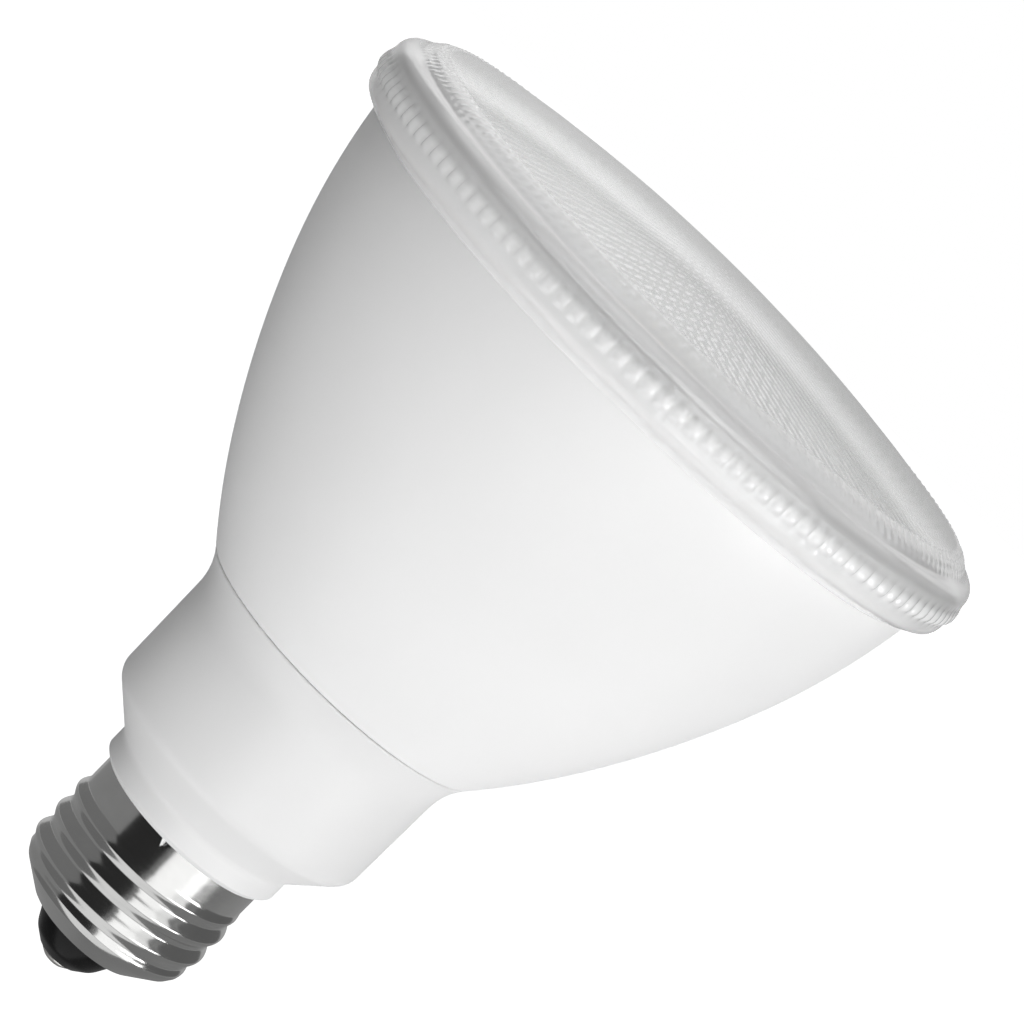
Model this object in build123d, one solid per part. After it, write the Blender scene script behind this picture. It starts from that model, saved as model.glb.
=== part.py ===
from build123d import *
import os
from math import cos, radians, sin, sqrt, tan

# Reflector spotlight lamp with a medium screw base.
# Millimetres. The lamp stands on its centre contact, its axis along Z and its lens at the top.

# Overall sizes
lamp_height = 118.9
rim_radius = 47.55
gap = 0.05
merge = 0.5

# Screw base: seven threads to the inch
thread_pitch = 25.4 / 7
thread_crest_radius = 13.03
thread_root_radius = 12.33
band_radius = 12.42
band_low_z = 21.1
shell_bore_radius = 12.1
shell_sheet = 0.3
shell_lip_radius = 6.7
shell_lip_z = 5.4
shell_cone_radius = 8.3
shell_cone_z = 5.85
shell_cone_top_radius = 11.9
shell_cone_top_z = 8.7
thread_low_z = 9.6
thread_top_z = 20.9
thread_sink = 0.15
thread_foot = 0.92
thread_flat = 0.26
thread_fade = 1.6

# Centre contact and insulator
contact_flat_radius = 1.5
contact_head_radius = 2.3
contact_bevel_z = 0.55
contact_head_height = 0.95
contact_shank_radius = 0.7
contact_top_z = 9.4
insulator_foot_radius = 2.7
insulator_waist_radius = 4.65
insulator_waist_z = 2.45
insulator_top_z = 8.75

# Neck moulding
collar_z = 24.6
collar_edge_radius = 13.05
collar_radius = 13.75
collar_bevel = 0.65
collar_top_z = 28.1
shoulder_radius = 19.38
shoulder_z = 33.6
shoulder_ease = 1.08
neck_radius = 19.55
flare_low_z = 46.9
flare_radius = 9.4
flare_turn = 38.7
spigot_radius = 11.95
spigot_low_z = 12.5
spigot_bore = 10.3
neck_bore = 17.6
neck_bore_low_z = 35.6
neck_throat_z = 29.2
neck_tongue_radius = 19.9
boss_circle = 15.3
boss_radius = 2.6
boss_low_z = 44.0
boss_pilot_radius = 1.25
boss_angles = (90, 210, 330)
wire_slot_width = 1.0
wire_slot_depth = 0.9
wire_slot_top_z = 19.0
rail_inner_x = 14.4
rail_outer_x = 18.2
rail_width = 4.6
rail_low_z = 34.6
rail_top_z = 54.0

# Bell-shaped housing
seam_gap = 0.25
bell_top_z = 104.5
bell_top_radius = 44.15
bell_low_slope = 0.8
bell_top_slope = 0.12
bell_stations = ((65.6, 30.35, 1.16), (83.2, 38.75, 1.08))
housing_wall = 2.0
floor_low_z = 58.0
floor_top_z = 60.0
floor_hole_radius = 9.0
tongue_bore = 42.6
tongue_top_z = 109.4
ledge_z = 103.2
screw_hole_radius = 1.6

# Lens
dome_radius = 220.0
dome_edge_radius = 41.2
dome_corner_radius = 43.4
dome_foot_radius = 44.8
dome_foot_z = 113.2
bead_start_radius = 45.1
bead_start_z = 112.95
bead_crown_z = 112.7
bead_high_z = 110.8
bead_low_z = 107.7
bead_corner_radius = 46.75
bead_corner_z = 106.55
groove_top_z = 110.6
lens_wall = 2.2
skirt_low_z = 104.2
rib_count = 132
rib_height = 0.42
rib_flat = 0.36
rib_depth = 1.5

# Heat path and light source
cup_foot_radius = 24.2
cup_top_radius = 35.9
cup_wall = 1.6
cup_floor = 2.0
cup_top_z = 82.0
pad_thickness = 0.4
pad_radius = 13.4
led_board_radius = 22.0
led_board_thickness = 1.6
led_package = 3.0
led_height = 0.7
led_window = 2.2
led_window_depth = 0.12
led_ring_radius = 8.6
led_ring_count = 8
led_wire_x = 4.6
led_wire_radius = 0.6
screw_head_radius = 2.5
screw_head_height = 1.7
screw_shank_radius = 1.2
screw_low_z = 46.0
reflector_low_radius = 18.4
reflector_top_radius = 39.4
reflector_wall = 0.8
reflector_flange_radius = 42.5
reflector_flange = 1.0

# Driver
board_thickness = 1.6
board_low_z = 14.0
board_step_z = 36.2
board_top_z = 56.0
board_tongue_width = 18.0
board_width = 31.0
core_width = 13.5
core_depth = 6.4
core_height = 13.0
core_low_z = 40.5
core_lift = 2.4
core_yoke = 2.1
core_middle = 3.6
core_window = 2.6
coil_width = 8.6
coil_depth = 11.2
coil_round = 1.4
bulk_radius = 5.0
bulk_height = 16.0
bulk_low_z = 38.0
output_radius = 3.5
output_height = 11.5
output_x = 11.2
output_low_z = 40.0
can_groove = 0.8
can_groove_depth = 0.3
film_size = (6.6, 5.8, 12.0)
film_x = -10.9
film_low_z = 40.0
film_round = 0.5
rectifier_size = (6.4, 2.6, 8.0)
rectifier_low_z = 24.0
choke_radius = 3.6
choke_waist = 3.1
choke_height = 9.0
choke_flange = 1.4
choke_x = 4.0
choke_low_z = 24.0
resistor_radius = 1.6
resistor_length = 9.0
resistor_x = -4.8
resistor_low_z = 22.5
varistor_radius = 3.5
varistor_thickness = 3.6
varistor_z = 18.4
chip_size = (4.9, 1.6, 3.9)
chip_x = -9.55
chip_low_z = 38.4
line_wire_radius = 0.65
neutral_wire_radius = 0.4
neutral_wire_x = 7.6
neutral_drop = 2.4
led_wire_solder = 0.4

# Heights that follow from the sizes above
seam_z = flare_low_z + flare_radius * sin(radians(flare_turn))
seam_radius = neck_radius + flare_radius * (1 - cos(radians(flare_turn)))
bell_low_z = seam_z + seam_gap
bell_low_radius = seam_radius + seam_gap * bell_low_slope
cup_floor_top_z = floor_top_z + cup_floor
led_board_z = cup_floor_top_z + pad_thickness
led_board_top_z = led_board_z + led_board_thickness
board_face = board_thickness / 2


def turned(profile):
    # A profile drawn in the XZ plane, turned about the lamp's axis.
    return revolve(profile.sketch, Axis.Z)


def eased(before, corner, after, setback):
    # A soft corner that starts and ends at the same distance from the sharp one.
    corner = Vector(*corner)
    start = corner + (Vector(*before) - corner).normalized() * setback
    end = corner + (Vector(*after) - corner).normalized() * setback
    return Bezier(start, corner, end)


def rod(radius, low_z, high_z, x=0.0, y=0.0):
    # A round bar along Z.
    return Pos(x, y, (low_z + high_z) / 2) * Cylinder(radius, high_z - low_z)


def block(x_range, y_range, z_range):
    # A box between two corners.
    spans = (x_range, y_range, z_range)
    sizes = [high - low for low, high in spans]
    middle = [(low + high) / 2 for low, high in spans]
    return Pos(*middle) * Box(*sizes)


def on_board(size, x, low_z, side):
    # A block that stands on one face of the driver board, side 1 or -1.
    width, depth, height = size
    return Pos(x, side * (board_face + depth / 2), low_z + height / 2) * Box(width, depth, height)


def on_circle(radius, angle):
    # A point on a circle round the axis, angle in degrees.
    return radius * cos(radians(angle)), radius * sin(radians(angle))


def thread_ridge():
    # A ridge with sloping flanks, swept along a right-hand helix.
    sunk_radius = thread_root_radius - thread_sink
    half_foot = thread_foot * thread_pitch / 2
    half_flat = thread_flat * thread_pitch / 2
    length = thread_top_z - thread_low_z
    helix = Helix(thread_pitch, length, thread_root_radius, center=(0, 0, thread_low_z))
    start = Plane(origin=(0, 0, thread_low_z), x_dir=(1, 0, 0), z_dir=(0, -1, 0))
    with BuildSketch(start) as section:
        with BuildLine():
            Polyline(
                (sunk_radius, -half_foot),
                (thread_crest_radius, -half_flat),
                (thread_crest_radius, half_flat),
                (sunk_radius, half_foot),
                close=True,
            )
        make_face()
    return sweep(section.sketch, path=helix, is_frenet=True)


def thread_limits():
    # The room for the ridge, conical at both ends so that the thread fades in and out.
    sunk_radius = thread_root_radius - thread_sink
    outer_radius = thread_crest_radius + gap
    with BuildSketch(Plane.XZ) as profile:
        with BuildLine():
            Polyline(
                (sunk_radius - gap, thread_low_z - gap),
                (sunk_radius, thread_low_z - gap),
                (outer_radius, thread_low_z + thread_fade),
                (outer_radius, thread_top_z - thread_fade),
                (sunk_radius, thread_top_z + gap),
                (sunk_radius - gap, thread_top_z + gap),
                close=True,
            )
        make_face()
    return turned(profile)


def screw_shell():
    lip_bore = shell_lip_radius - shell_sheet
    with BuildSketch(Plane.XZ) as profile:
        with BuildLine():
            Polyline(
                (lip_bore, shell_lip_z),
                (shell_lip_radius, shell_lip_z),
                (shell_cone_radius, shell_cone_z),
                (shell_cone_top_radius, shell_cone_top_z),
                (thread_root_radius, thread_low_z),
                (thread_root_radius, thread_top_z),
                (band_radius, band_low_z),
                (band_radius, collar_z),
                (shell_bore_radius, collar_z),
                (shell_bore_radius, thread_low_z + shell_sheet),
                (shell_cone_top_radius - shell_sheet / 2, shell_cone_top_z + shell_sheet),
                (shell_cone_radius - shell_sheet / 2, shell_cone_z + shell_sheet),
                (lip_bore, shell_lip_z + shell_sheet),
                close=True,
            )
        make_face()
    return turned(profile) + (thread_ridge() & thread_limits())


def base_insulator():
    neck_hole = shell_lip_radius - shell_sheet - gap
    with BuildSketch(Plane.XZ) as profile:
        with BuildLine():
            hole = contact_shank_radius + gap
            Polyline(
                (hole, contact_head_height),
                (insulator_foot_radius, contact_head_height),
                (insulator_waist_radius, insulator_waist_z),
                (neck_hole, shell_lip_z),
                (neck_hole, shell_lip_z + shell_sheet + gap),
                (shell_cone_radius - shell_sheet, shell_cone_z + shell_sheet + gap),
                (shell_cone_top_radius - 2 * shell_sheet, insulator_top_z),
                (hole, insulator_top_z),
                close=True,
            )
        make_face()
    return turned(profile)


def centre_contact():
    with BuildSketch(Plane.XZ) as profile:
        with BuildLine():
            Polyline(
                (0, 0),
                (contact_flat_radius, 0),
                (contact_head_radius, contact_bevel_z),
                (contact_head_radius, contact_head_height),
                (contact_shank_radius, contact_head_height),
                (contact_shank_radius, contact_top_z),
                (0, contact_top_z),
                close=True,
            )
        make_face()
    return turned(profile)


def neck_outline():
    # Outside of the neck: collar ring, sloping shoulder, barrel and flare.
    collar_low = (collar_radius, collar_z + collar_bevel)
    collar_top = (collar_radius, collar_top_z)
    shoulder = (shoulder_radius, shoulder_z)
    barrel_top = (neck_radius, flare_low_z)
    flare_corner_z = flare_low_z + flare_radius * tan(radians(flare_turn / 2))
    with BuildSketch(Plane.XZ) as profile:
        with BuildLine():
            collar_ring = Polyline((0, collar_z), (collar_edge_radius, collar_z), collar_low)
            round_corner = eased(collar_top, shoulder, barrel_top, shoulder_ease)
            Polyline(collar_ring @ 1, collar_top, round_corner @ 0)
            Line(round_corner @ 1, barrel_top)
            flare = Bezier(barrel_top, (neck_radius, flare_corner_z), (seam_radius, seam_z))
            Polyline(flare @ 1, (0, seam_z), collar_ring @ 0)
        make_face()
    return turned(profile)


def neck_hollow():
    with BuildSketch(Plane.XZ) as profile:
        with BuildLine():
            Polyline(
                (0, spigot_low_z - 1),
                (spigot_bore, spigot_low_z - 1),
                (spigot_bore, neck_throat_z),
                (neck_bore, neck_bore_low_z),
                (neck_bore, floor_low_z + 1),
                (0, floor_low_z + 1),
                close=True,
            )
        make_face()
    return turned(profile)


def board_rails(side):
    # A grooved rail inside the neck that holds one edge of the driver board.
    inner, outer = sorted((side * rail_inner_x, side * rail_outer_x))
    rail = block((inner, outer), (-rail_width / 2, rail_width / 2), (rail_low_z, rail_top_z))
    reach = board_width / 2 + gap
    groove = board_face + gap
    return rail - block((-reach, reach), (-groove, groove), (board_step_z, rail_top_z + 1))


def neck_housing():
    neck = neck_outline()
    neck += rod(spigot_radius, spigot_low_z, collar_z + 1)
    neck += rod(neck_tongue_radius, seam_z - 1, floor_low_z)
    neck -= neck_hollow()
    for side in (-1, 1):
        neck += board_rails(side)
    for angle in boss_angles:
        x, y = on_circle(boss_circle, angle)
        neck += rod(boss_radius, boss_low_z, floor_low_z, x, y)
        neck -= rod(boss_pilot_radius, boss_low_z + 1, floor_low_z + 1, x, y)
    neck -= block(
        (spigot_radius - wire_slot_depth, spigot_radius + 1),
        (-wire_slot_width / 2, wire_slot_width / 2),
        (spigot_low_z - 1, wire_slot_top_z),
    )
    return neck


def bell_core(inset):
    # The bell, filled, with its side moved inwards by a wall thickness.
    with BuildSketch(Plane.XZ) as profile:
        with BuildLine():
            low = (bell_low_radius - inset * sqrt(1 + bell_low_slope**2), bell_low_z)
            top = (bell_top_radius - inset, bell_top_z)
            stations = [(r - inset * stretch, z) for z, r, stretch in bell_stations]
            side = Spline(low, *stations, top, tangents=((bell_low_slope, 1), (bell_top_slope, 1)))
            Polyline(side @ 1, (0, bell_top_z), (0, bell_low_z), side @ 0)
        make_face()
    return turned(profile)


def housing():
    bell = bell_core(0)
    bell += rod(bell_top_radius, bell_top_z - merge, tongue_top_z)
    bell -= bell_core(housing_wall) - rod(rim_radius, 0, floor_top_z)
    bell -= rod(tongue_bore, ledge_z, tongue_top_z + 1)
    bell -= rod(neck_tongue_radius + gap, bell_low_z - 1, floor_low_z)
    bell -= rod(floor_hole_radius, floor_low_z - 1, floor_top_z + 1)
    for angle in boss_angles:
        x, y = on_circle(boss_circle, angle)
        bell -= rod(screw_hole_radius, floor_low_z - 1, floor_top_z + 1, x, y)
    return bell


def dome_z(radius, top_z):
    # Height of the dome's round surface at a distance from the axis.
    return top_z - dome_radius + sqrt(dome_radius**2 - radius**2)


def dome_arc(top_z):
    half = dome_edge_radius / 2
    return ThreePointArc(
        (0, top_z), (half, dome_z(half, top_z)), (dome_edge_radius, dome_z(dome_edge_radius, top_z))
    )


def lens_body():
    # The lens without its ribs, turned as one: dome, rounded bead and grooved skirt.
    bead_radius = rim_radius - rib_height - gap
    with BuildSketch(Plane.XZ) as profile:
        with BuildLine():
            dome = dome_arc(lamp_height)
            edge = dome @ 1
            fall = dome_edge_radius / (edge.Y - lamp_height + dome_radius)
            corner_z = edge.Y - fall * (dome_corner_radius - dome_edge_radius)
            foot = Bezier(edge, (dome_corner_radius, corner_z), (dome_foot_radius, dome_foot_z))
            notch = Line(foot @ 1, (bead_start_radius, bead_start_z))
            bead = Bezier(notch @ 1, (bead_radius, bead_crown_z), (bead_radius, bead_high_z))
            skirt = Polyline(
                bead @ 1,
                (bead_radius, bead_low_z),
                (bead_corner_radius, bead_corner_z),
                (bell_top_radius + 2 * gap, bell_top_z),
                (bell_top_radius + 2 * gap, groove_top_z),
                (tongue_bore - 2 * gap, groove_top_z),
                (tongue_bore - 2 * gap, skirt_low_z),
                (dome_edge_radius, skirt_low_z),
                (dome_edge_radius, dome_z(dome_edge_radius, lamp_height - lens_wall)),
            )
            inside = dome_arc(lamp_height - lens_wall)
            Line(inside @ 0, dome @ 0)
        make_face()
    return turned(profile)


def rim_ribs():
    # A ring round the bead whose outline is a row of flat-topped grip ribs.
    step = 360 / rib_count
    root = rim_radius - rib_height
    outline = []
    for index in range(rib_count):
        outline.append(on_circle(root, (index - 0.5) * step))
        outline.append(on_circle(rim_radius, (index - rib_flat / 2) * step))
        outline.append(on_circle(rim_radius, (index + rib_flat / 2) * step))
    with BuildSketch(Plane.XY.offset(bead_low_z)) as ring:
        Polygon(*outline, align=None)
        Circle(root - rib_depth, mode=Mode.SUBTRACT)
    return extrude(ring.sketch, bead_high_z - bead_low_z)


def lens():
    return lens_body() + rim_ribs()


def lens_seal():
    ring = rod(bell_top_radius, tongue_top_z, groove_top_z)
    return ring - rod(tongue_bore, tongue_top_z - 1, groove_top_z + 1)


def heat_sink():
    # A pressed cup with straight sides that stands in the bell.
    slope = (cup_top_radius - cup_foot_radius) / (cup_top_z - floor_top_z)
    side_wall = cup_wall * sqrt(1 + slope**2)
    with BuildSketch(Plane.XZ) as profile:
        with BuildLine():
            Polyline(
                (0, floor_top_z),
                (cup_foot_radius, floor_top_z),
                (cup_top_radius, cup_top_z),
                (cup_top_radius - side_wall, cup_top_z),
                (cup_foot_radius + slope * cup_floor - side_wall, cup_floor_top_z),
                (0, cup_floor_top_z),
                close=True,
            )
        make_face()
    cup = turned(profile)
    for x in (-led_wire_x, led_wire_x):
        cup -= rod(2 * led_wire_radius, floor_top_z - 1, cup_floor_top_z + 1, x)
    for angle in boss_angles:
        x, y = on_circle(boss_circle, angle)
        cup -= rod(screw_hole_radius, floor_top_z - 1, cup_floor_top_z + 1, x, y)
    return cup


def thermal_pad():
    # A disc that fits within the circle of screws, with a hole for each lead.
    pad = rod(pad_radius, cup_floor_top_z, led_board_z)
    for x in (-led_wire_x, led_wire_x):
        pad -= rod(2 * led_wire_radius, cup_floor_top_z - 1, led_board_z + 1, x)
    return pad


def led_board():
    board = rod(led_board_radius, led_board_z, led_board_top_z)
    for x in (-led_wire_x, led_wire_x):
        board -= rod(led_wire_radius + gap, led_board_z - 1, led_board_top_z + 1, x)
    for angle in boss_angles:
        x, y = on_circle(boss_circle, angle)
        board -= rod(screw_hole_radius, led_board_z - 1, led_board_top_z + 1, x, y)
    return board


def led_emitters():
    package = Pos(0, 0, led_board_top_z + led_height / 2) * Box(led_package, led_package, led_height)
    window_z = led_board_top_z + led_height - led_window_depth
    package -= Pos(0, 0, window_z + led_height / 2) * Box(led_window, led_window, led_height)
    ring_angles = [index * 360 / led_ring_count for index in range(led_ring_count)]
    ring = [Rot(0, 0, angle) * Pos(led_ring_radius, 0) * package for angle in ring_angles]
    return [package] + ring


def board_screws():
    screw = rod(screw_head_radius, led_board_top_z, led_board_top_z + screw_head_height)
    screw += rod(screw_shank_radius, screw_low_z, led_board_top_z)
    return [Pos(*on_circle(boss_circle, angle)) * screw for angle in boss_angles]


def parabola_side(low_radius, top_radius, low_z, top_z):
    # A quadratic curve from edge to edge is one stretch of a parabola about the axis.
    spread = (top_radius**2 - low_radius**2) / (top_z - low_z)
    vertex_z = low_z - low_radius**2 / spread
    control = ((low_radius + top_radius) / 2, vertex_z + low_radius * top_radius / spread)
    return Bezier((low_radius, low_z), control, (top_radius, top_z))


def reflector():
    flange_top_z = ledge_z + reflector_flange
    with BuildSketch(Plane.XZ) as profile:
        with BuildLine():
            inner = parabola_side(reflector_low_radius, reflector_top_radius, led_board_top_z, flange_top_z)
            outer = parabola_side(
                reflector_low_radius + reflector_wall,
                reflector_top_radius + reflector_wall,
                led_board_top_z,
                ledge_z,
            )
            Line(inner @ 0, outer @ 0)
            Polyline(
                outer @ 1,
                (reflector_flange_radius, ledge_z),
                (reflector_flange_radius, flange_top_z),
                inner @ 1,
            )
        make_face()
    return turned(profile)


def driver_board():
    # Wide in the neck, with a narrow tongue that reaches down into the screw base.
    half_tongue = board_tongue_width / 2
    half_width = board_width / 2
    board = block((-half_tongue, half_tongue), (-board_face, board_face), (board_low_z, board_top_z))
    board += block((-half_width, half_width), (-board_face, board_face), (board_step_z, board_top_z))
    return board


def transformer_core():
    # Two E-shaped halves glued together: a block with a window each side of its middle limb.
    core = on_board((core_width, core_depth, core_height), 0, core_low_z, 1)
    window_x = (core_middle + core_window) / 2
    window_height = core_height - 2 * core_yoke
    for x in (-window_x, window_x):
        core -= on_board((core_window, core_depth, window_height), x, core_low_z + core_yoke, 1)
    return Pos(0, core_lift, 0) * core


def transformer_coil():
    # The winding fills the windows and stands out before and behind the core.
    low_z = core_low_z + core_yoke + 2 * gap
    height = core_height - 2 * core_yoke - 4 * gap
    coil = on_board((coil_width, coil_depth, height), 0, low_z, 1)
    coil = fillet(coil.edges().filter_by(Axis.Z), coil_round)
    limb = on_board((core_middle + 2 * gap, core_depth + 2 * gap, core_height), 0, core_low_z, 1)
    return coil - Pos(0, core_lift - gap, 0) * limb


def capacitor_can(radius, height, x, low_z, side):
    # A can lying along the board, with a rolled groove near its foot and a bevelled top.
    y = side * (board_face + radius)
    groove_z = low_z + radius / 2
    can = rod(radius, low_z, low_z + height, x, y)
    can = chamfer(can.edges().group_by(Axis.Z)[-1], radius / 8)
    groove = rod(radius + 1, groove_z, groove_z + can_groove, x, y)
    groove -= rod(radius - can_groove_depth, groove_z, groove_z + can_groove, x, y)
    return can - groove


def bulk_capacitor():
    return capacitor_can(bulk_radius, bulk_height, 0, bulk_low_z, -1)


def output_capacitor():
    return capacitor_can(output_radius, output_height, output_x, output_low_z, 1)


def film_capacitor():
    body = on_board(film_size, film_x, film_low_z, 1)
    return fillet(body.edges().filter_by(Axis.Y), film_round)


def bridge_rectifier():
    return on_board(rectifier_size, 0, rectifier_low_z, -1)


def choke():
    # A drum core: two flanges with the wound middle between them.
    y = board_face + choke_radius
    drum = rod(choke_waist, choke_low_z, choke_low_z + choke_height, choke_x, y)
    for low_z in (choke_low_z, choke_low_z + choke_height - choke_flange):
        drum += rod(choke_radius, low_z, low_z + choke_flange, choke_x, y)
    return drum


def fusible_resistor():
    high_z = resistor_low_z + resistor_length
    return rod(resistor_radius, resistor_low_z, high_z, resistor_x, board_face + resistor_radius)


def varistor():
    y = board_face + varistor_thickness / 2
    return Pos(0, y, varistor_z) * Rot(90, 0, 0) * Cylinder(varistor_radius, varistor_thickness)


def controller_chip():
    return on_board(chip_size, chip_x, chip_low_z, -1)


def line_lead():
    return rod(line_wire_radius, contact_top_z, board_low_z)


def neutral_lead():
    # Down from the board, round the foot of the spigot and up its slot against the shell.
    slot_x = shell_bore_radius - neutral_wire_radius
    bend_z = spigot_low_z - neutral_drop
    with BuildLine(Plane.XZ) as route:
        Polyline(
            (neutral_wire_x, board_low_z),
            (neutral_wire_x, bend_z),
            (slot_x, bend_z),
            (slot_x, wire_slot_top_z - 1),
        )
    start = Plane(origin=(neutral_wire_x, 0, board_low_z), z_dir=(0, 0, -1))
    return sweep(start * Circle(neutral_wire_radius), path=route.line, transition=Transition.RIGHT)


def led_lead(x):
    return rod(led_wire_radius, board_top_z, led_board_top_z + led_wire_solder, x)


os.makedirs("parts", exist_ok=True)
pieces = {
    "screw_shell": screw_shell(),
    "base_insulator": base_insulator(),
    "centre_contact": centre_contact(),
    "neck_housing": neck_housing(),
    "housing": housing(),
    "lens": lens(),
    "lens_seal": lens_seal(),
    "heat_sink": heat_sink(),
    "thermal_pad": thermal_pad(),
    "led_board": led_board(),
    "led_emitters": Compound(children=led_emitters()),
    "board_screws": Compound(children=board_screws()),
    "reflector": reflector(),
    "driver_board": driver_board(),
    "transformer_core": transformer_core(),
    "transformer_coil": transformer_coil(),
    "bulk_capacitor": bulk_capacitor(),
    "output_capacitor": output_capacitor(),
    "film_capacitor": film_capacitor(),
    "bridge_rectifier": bridge_rectifier(),
    "choke": choke(),
    "fusible_resistor": fusible_resistor(),
    "varistor": varistor(),
    "controller_chip": controller_chip(),
    "line_lead": line_lead(),
    "neutral_lead": neutral_lead(),
    "led_positive_lead": led_lead(led_wire_x),
    "led_negative_lead": led_lead(-led_wire_x),
}
for name, piece in pieces.items():
    export_step(piece, f"parts/{name}.step")
    print(name, len(piece.solids()), round(piece.volume, 1))
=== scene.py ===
import bpy
import bmesh
from math import atan2, ceil, cos, floor, pi, radians, sin, sqrt, tan
from mathutils import Matrix, Vector


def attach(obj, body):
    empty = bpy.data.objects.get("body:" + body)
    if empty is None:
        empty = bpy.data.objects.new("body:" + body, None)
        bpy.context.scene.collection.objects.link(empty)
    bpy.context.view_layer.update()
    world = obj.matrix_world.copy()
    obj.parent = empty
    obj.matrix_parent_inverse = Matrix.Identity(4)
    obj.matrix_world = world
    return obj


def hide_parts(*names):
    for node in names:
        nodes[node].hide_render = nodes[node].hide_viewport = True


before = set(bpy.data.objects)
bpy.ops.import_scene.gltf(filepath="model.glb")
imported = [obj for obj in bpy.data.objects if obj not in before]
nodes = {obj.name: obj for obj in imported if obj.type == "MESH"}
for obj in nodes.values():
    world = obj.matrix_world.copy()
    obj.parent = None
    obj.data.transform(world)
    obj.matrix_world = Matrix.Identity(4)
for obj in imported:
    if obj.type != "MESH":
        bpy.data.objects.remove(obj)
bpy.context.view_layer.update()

mm = 0.001
mergeGap = 0.002 * mm  # vertices closer than this become one
overshoot = 1.0  # how far a cutting tool stands out past what it cuts, in millimetres
print("frame loaded:", len(nodes), "CAD nodes")


# Small helpers for colours, nodes and turned shapes

def hexColor(code):
    # sRGB hex to linear
    channels = [int(code[i:i + 2], 16) / 255 for i in (1, 3, 5)]
    linear = [c / 12.92 if c <= 0.04045 else ((c + 0.055) / 1.055) ** 2.4 for c in channels]
    return (*linear, 1.0)


def addNode(tree, kind, settings=None, inputs=None):
    node = tree.nodes.new(kind)
    for name, value in (settings or {}).items():
        setattr(node, name, value)
    for name, value in (inputs or {}).items():
        if isinstance(value, bpy.types.NodeSocket):
            tree.links.new(value, node.inputs[name])
        else:
            node.inputs[name].default_value = value
    return node


def newMaterial(name):
    material = bpy.data.materials.new(name)
    material.use_nodes = True
    material.node_tree.nodes.clear()
    return material, material.node_tree


def perMm(size):
    return 1 / (size * mm)  # pattern scale on Object coordinates for a feature of this many millimetres


def startPiece(name):
    if bpy.context.object and bpy.context.object.mode != "OBJECT":
        bpy.ops.object.mode_set(mode="OBJECT")
    bpy.ops.object.select_all(action="DESELECT")
    bpy.ops.mesh.primitive_plane_add(size=mm)
    piece = bpy.context.object
    piece.name = name
    piece.data.name = name
    bpy.ops.object.mode_set(mode="EDIT")
    bpy.ops.mesh.merge(type="CENTER")
    return piece


def roundedOutline(points, steps=5):
    # a third number on a point is the radius of its round
    done = []
    for index, point in enumerate(points):
        corner = Vector(point[:2])
        if len(point) < 3:
            done.append(corner)
            continue
        toBefore = (Vector(points[index - 1][:2]) - corner).normalized()
        toAfter = (Vector(points[(index + 1) % len(points)][:2]) - corner).normalized()
        halfAngle = toBefore.angle(toAfter) / 2
        middle = corner + (toBefore + toAfter).normalized() * (point[2] / sin(halfAngle))
        first = corner + toBefore * (point[2] / tan(halfAngle))
        last = corner + toAfter * (point[2] / tan(halfAngle))
        spoke = first - middle
        sweep = spoke.angle_signed(last - middle)
        for step in range(steps + 1):
            turned = Matrix.Rotation(-sweep * step / steps, 2) @ spoke
            done.append(middle + turned)
    return done


def spinProfile(outline, steps, closed=True):
    # outline points are (radius, height) in millimetres; the piece is in edit mode with one vertex
    points = [Vector((r * mm, 0, z * mm)) for r, z in outline]
    bpy.ops.mesh.select_all(action="SELECT")
    bpy.ops.transform.translate(value=points[0])
    for before, after in zip(points, points[1:]):
        bpy.ops.mesh.extrude_region_move(TRANSFORM_OT_translate={"value": after - before})
    if closed:
        edited = bmesh.from_edit_mesh(bpy.context.object.data)
        edited.verts.ensure_lookup_table()
        for index, vertex in enumerate(edited.verts):
            vertex.select = index in (0, len(edited.verts) - 1)
        edited.select_flush_mode()
        bpy.ops.mesh.edge_face_add()
    bpy.ops.mesh.select_all(action="SELECT")
    bpy.ops.mesh.spin(steps=steps, angle=2 * pi, center=(0, 0, 0), axis=(0, 0, 1))
    bpy.ops.mesh.select_all(action="SELECT")
    bpy.ops.mesh.remove_doubles(threshold=mergeGap)
    bpy.ops.mesh.normals_make_consistent(inside=False)
    bpy.ops.object.mode_set(mode="OBJECT")


def applyTool(piece, tool, operation):
    joined = piece.modifiers.new("tool", "BOOLEAN")
    joined.object = tool
    joined.operation = operation
    bpy.context.view_layer.objects.active = piece
    bpy.ops.object.modifier_apply(modifier=joined.name)
    bpy.data.objects.remove(tool)


def workRod(piece, operation, radius, circle, angle, lowZ, highZ, sides=24):
    # adds or cuts an upright rod on a circle round the axis
    x, y = circle * cos(radians(angle)), circle * sin(radians(angle))
    bpy.ops.object.select_all(action="DESELECT")
    bpy.ops.mesh.primitive_cylinder_add(
        vertices=sides, radius=radius * mm, depth=(highZ - lowZ) * mm,
        location=(x * mm, y * mm, (lowZ + highZ) / 2 * mm))
    applyTool(piece, bpy.context.object, operation)


def workBlock(piece, operation, xs, ys, zs):
    # adds or cuts a block between two corners
    spans = (xs, ys, zs)
    bpy.ops.object.select_all(action="DESELECT")
    bpy.ops.mesh.primitive_cube_add(
        size=1, location=[(low + high) / 2 * mm for low, high in spans],
        scale=[(high - low) * mm for low, high in spans])
    applyTool(piece, bpy.context.object, operation)


def smoothSides(piece, degrees):
    bpy.ops.object.select_all(action="DESELECT")
    piece.select_set(True)
    bpy.context.view_layer.objects.active = piece
    bpy.ops.object.shade_smooth_by_angle(angle=radians(degrees))


def finishPiece(piece, node, material):
    piece.data.materials.clear()
    piece.data.materials.append(material)
    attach(piece, "root")
    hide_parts(node)
    print("made", piece.name, len(piece.data.polygons), "faces")


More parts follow.
